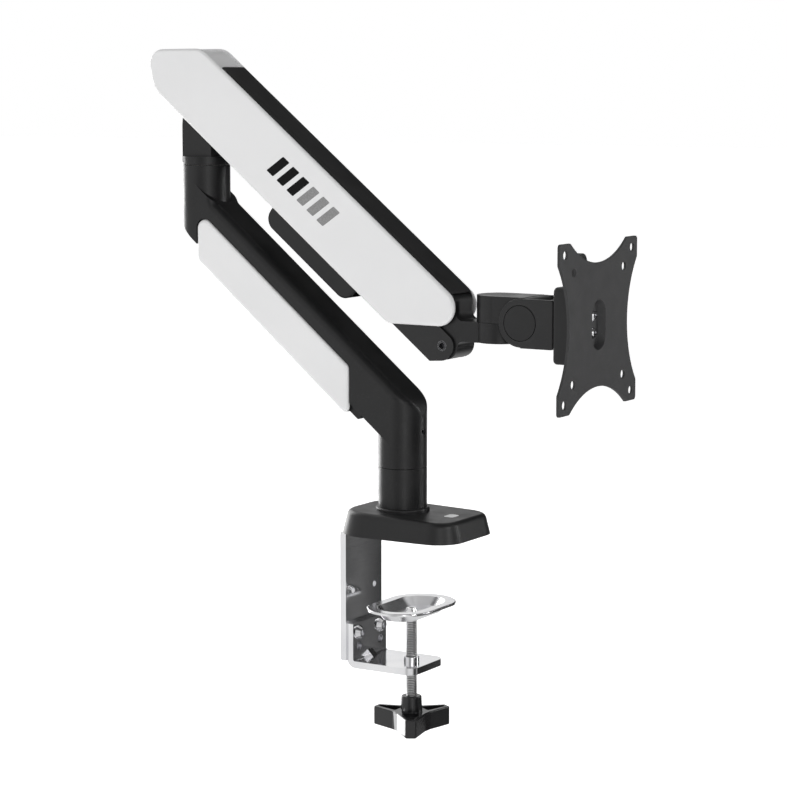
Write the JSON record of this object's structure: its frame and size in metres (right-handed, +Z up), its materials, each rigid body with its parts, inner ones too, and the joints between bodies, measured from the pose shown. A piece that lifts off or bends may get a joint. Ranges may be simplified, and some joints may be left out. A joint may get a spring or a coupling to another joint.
{
  "type": "monitor arm",
  "caption": "Desk-clamp monitor arm: swivelling post, sloping lower arm, gas-spring parallelogram upper arm and a panning, tilting, rotating screen plate.",
  "frame": {"origin": "on the base post's swivel axis, in the plane of the desk top (underside of the base pad)", "axes": "+Z up, +X over the desk towards the screen plate, Y across the arm"},
  "size_m": [0.3648, 0.1166, 0.4893],
  "materials": {
    "black_plastic": "fine moulded texture",
    "knob_plastic": "satin moulded nylon",
    "foam": "closed-cell foam",
    "polished_steel": "bright nickel plate",
    "pad_chrome": "bright chrome",
    "zinc_steel": "zinc plated",
    "screw_steel": "rolled thread, zinc plated",
    "dark_steel": "black oxide",
    "black_casting": "fine matte powder coat",
    "black_sheet": "matte powder coat",
    "white_plastic": "satin moulded",
    "grey_plastic": "satin moulded",
    "bearing_plastic": "natural nylon",
    "spring_paint": "gloss black",
    "rod_chrome": "hard chrome"
  },
  "bodies": {
    "base": {"base_cover": "black_plastic", "desk_pad": "foam", "upper_clamp_bracket": "polished_steel", "lower_clamp_bracket": "polished_steel", "clamp_bracket_screws": "zinc_steel", "clamp_nut_bush": "zinc_steel", "base_post": "black_casting", "post_collar": "black_plastic", "post_bush": "bearing_plastic", "post_thrust_washer": "bearing_plastic", "post_screws": "zinc_steel"},
    "clamp_pad": {"pressure_pad": "pad_chrome", "pad_retaining_screw": "zinc_steel"},
    "clamp_handle": {"clamp_screw": "screw_steel", "clamp_knob": "knob_plastic"},
    "lower_arm": {"lower_arm_casting": "black_casting", "lower_arm_cable_cover": "white_plastic", "lower_arm_cable_channel": "black_plastic", "lower_arm_spindle": "dark_steel", "elbow_bush": "bearing_plastic", "elbow_thrust_washer": "bearing_plastic", "spindle_grub_screw": "dark_steel"},
    "elbow": {"elbow_casting": "black_casting", "elbow_spindle": "dark_steel", "rear_pivot_bush": "bearing_plastic", "spring_anchor_pin": "dark_steel", "link_rear_pins": "dark_steel"},
    "upper_arm": {"upper_arm_beam": "black_sheet", "upper_cover_left": "white_plastic", "upper_cover_right": "white_plastic", "beam_end_cap": "grey_plastic", "rear_pivot_pin": "dark_steel", "front_pivot_pin": "dark_steel", "gas_spring_cylinder": "spring_paint", "gas_spring_bracket": "black_sheet", "gas_spring_pin": "dark_steel"},
    "spring_rod": {"gas_spring_rod": "rod_chrome", "gas_spring_eye": "spring_paint"},
    "link": {"lower_link": "black_sheet", "cable_clip": "black_plastic", "link_front_pin": "dark_steel"},
    "front_head": {"front_casting": "black_casting", "front_pivot_bush": "bearing_plastic", "pan_bolt": "dark_steel", "pan_nut": "zinc_steel"},
    "pan_head": {"head_link": "black_casting", "pan_cap": "black_plastic", "pan_thrust_washer": "bearing_plastic", "tilt_bush": "bearing_plastic"},
    "tilt_head": {"tilt_bracket": "black_sheet", "tilt_bolt": "dark_steel", "tilt_caps": "black_plastic", "rotation_spacer": "bearing_plastic", "rotation_bolt": "dark_steel", "rotation_nut": "zinc_steel"},
    "screen_mount": {"rotation_block": "black_plastic", "plate_nut_bar": "dark_steel", "vesa_plate": "black_sheet", "vesa_plate_screws": "zinc_steel"},
    "latch": {"release_latch": "black_plastic"}
  },
  "joints": [
    {"name": "base_swivel", "type": "hinge", "parent": "base", "child": "lower_arm", "pos_m": [0, 0, 0], "axis": [0, 0, 1], "range_deg": [-180, 180]},
    {"name": "elbow_swivel", "type": "hinge", "parent": "lower_arm", "child": "elbow", "pos_m": [-0.17, 0, 0.26], "axis": [0, 0, 1], "range_deg": [-180, 180]},
    {"name": "lift", "type": "hinge", "parent": "elbow", "child": "upper_arm", "pos_m": [-0.17, 0, 0.3327], "axis": [0, -1, 0], "range_deg": [0, 84]},
    {"name": "link_swing", "type": "hinge", "parent": "elbow", "child": "link", "pos_m": [-0.1644, 0, 0.304], "axis": [0, -1, 0], "range_deg": [-0.5, 84.5]},
    {"name": "head_level", "type": "hinge", "parent": "upper_arm", "child": "front_head", "pos_m": [0.03493, 0, 0.16675], "axis": [0, -1, 0], "range_deg": [-84.5, 0.5]},
    {"name": "spring_slide", "type": "slide", "parent": "upper_arm", "child": "spring_rod", "axis": [-0.7771, 0, 0.6293], "range_m": [-0.0001, 0.0229]},
    {"name": "pan", "type": "hinge", "parent": "front_head", "child": "pan_head", "pos_m": [0.0788, 0, 0.16], "axis": [0, 0, 1], "range_deg": [-75, 75]},
    {"name": "tilt", "type": "hinge", "parent": "pan_head", "child": "tilt_head", "pos_m": [0.1053, 0, 0.1576], "axis": [0, 1, 0], "range_deg": [-85, 45]},
    {"name": "screen_rotate", "type": "hinge", "parent": "tilt_head", "child": "screen_mount", "pos_m": [0.13, 0, 0.1577], "axis": [1, 0, 0], "range_deg": [-90, 90]},
    {"name": "latch_pull", "type": "slide", "parent": "screen_mount", "child": "latch", "axis": [0, 0, 1], "range_m": [0, 0.004], "stiffness_N_per_m": 300, "springref_m": -0.002},
    {"name": "pad_slide", "type": "slide", "parent": "base", "child": "clamp_pad", "axis": [0, 0, 1], "range_m": [-0.0251, 0.0181]},
    {"name": "screw_turn", "type": "hinge", "parent": "clamp_pad", "child": "clamp_handle", "pos_m": [0.0075, 0, -0.1], "axis": [0, 0, 1], "range_deg": [-7232, 5216]}
  ],
  "couplings": [
    {"joint": "link_swing", "follows": "lift", "ratio": 1},
    {"joint": "head_level", "follows": "lift", "ratio": -1},
    {"joint": "spring_slide", "follows": "lift", "m_per_rad": 0.015518},
    {"joint": "screw_turn", "follows": "pad_slide", "rad_per_m": 5026.5}
  ]
}
